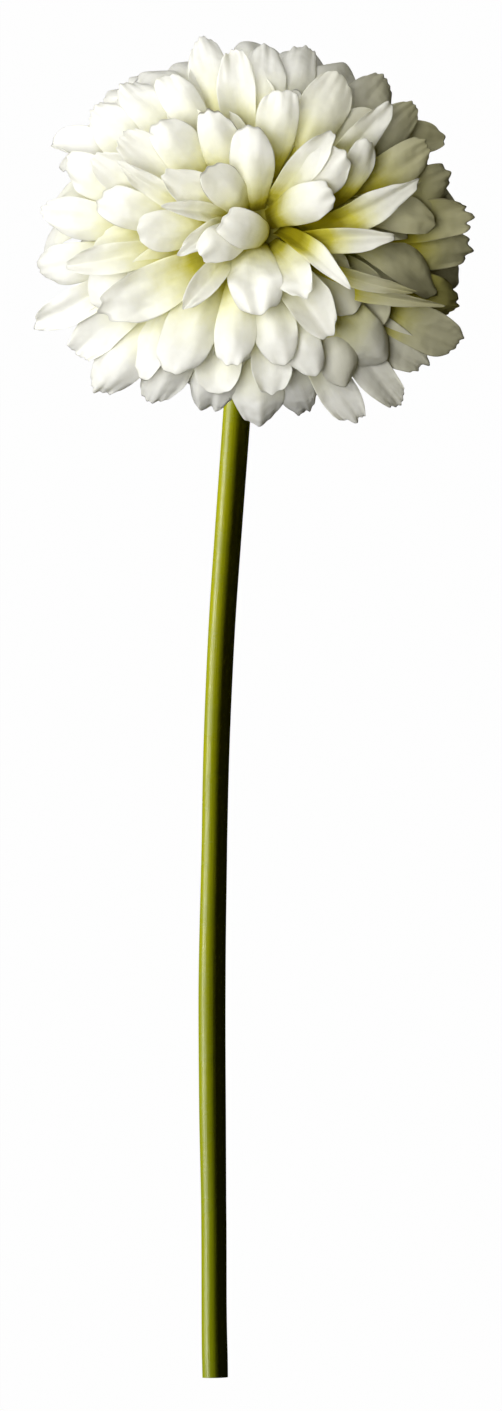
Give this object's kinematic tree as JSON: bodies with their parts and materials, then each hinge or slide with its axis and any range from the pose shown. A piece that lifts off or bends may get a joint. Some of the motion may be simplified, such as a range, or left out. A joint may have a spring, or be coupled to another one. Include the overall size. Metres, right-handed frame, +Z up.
{
  "type": "cut allium flower",
  "caption": "Creamy-white ball-shaped allium bloom of broad spoon petals on a bare green cut stem, lying on its side.",
  "frame": {"origin": "on the surface that the flower lies on, under the middle of its whole outline", "axes": "+Y along the stem from its cut end to the bloom, +Z up from the surface towards the bloom's crown, +X to the right as seen from above with the bloom away from the viewer"},
  "size_m": [0.1276, 0.3892, 0.1089],
  "materials": {
    "petals": "matte",
    "stem": "satin"
  },
  "bodies": {
    "root": {"bloom": "petals", "stem": "stem"}
  },
  "joints": []
}
